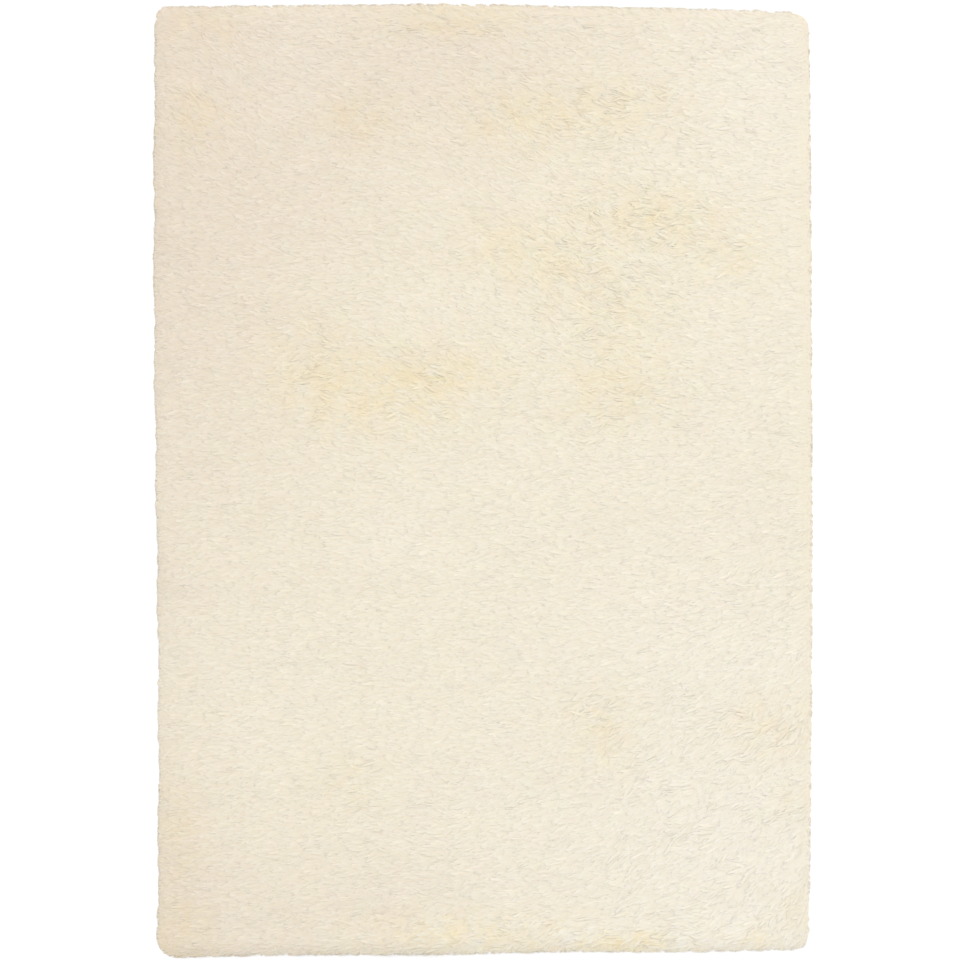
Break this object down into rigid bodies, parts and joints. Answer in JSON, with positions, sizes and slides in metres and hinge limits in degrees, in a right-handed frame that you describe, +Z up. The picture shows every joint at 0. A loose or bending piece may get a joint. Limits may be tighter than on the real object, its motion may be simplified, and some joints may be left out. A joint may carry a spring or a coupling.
{
  "type": "shag rug",
  "caption": "Rectangular cream shag rug lying flat, with soft combed pile, rounded corners and loose locks round its rim.",
  "frame": {"origin": "middle of the underside, on the floor that the rug lies on", "axes": "+X across the rug to the right-hand side, +Y along the rug to the top end, +Z up out of the pile"},
  "size_m": [1.5962, 2.3016, 0.0352],
  "materials": {
    "pile": "soft matt pile, cream, combed sideways",
    "backing": "plain woven ground cloth, matt"
  },
  "bodies": {
    "root": {"shag_pile_rug": "pile"}
  },
  "joints": []
}
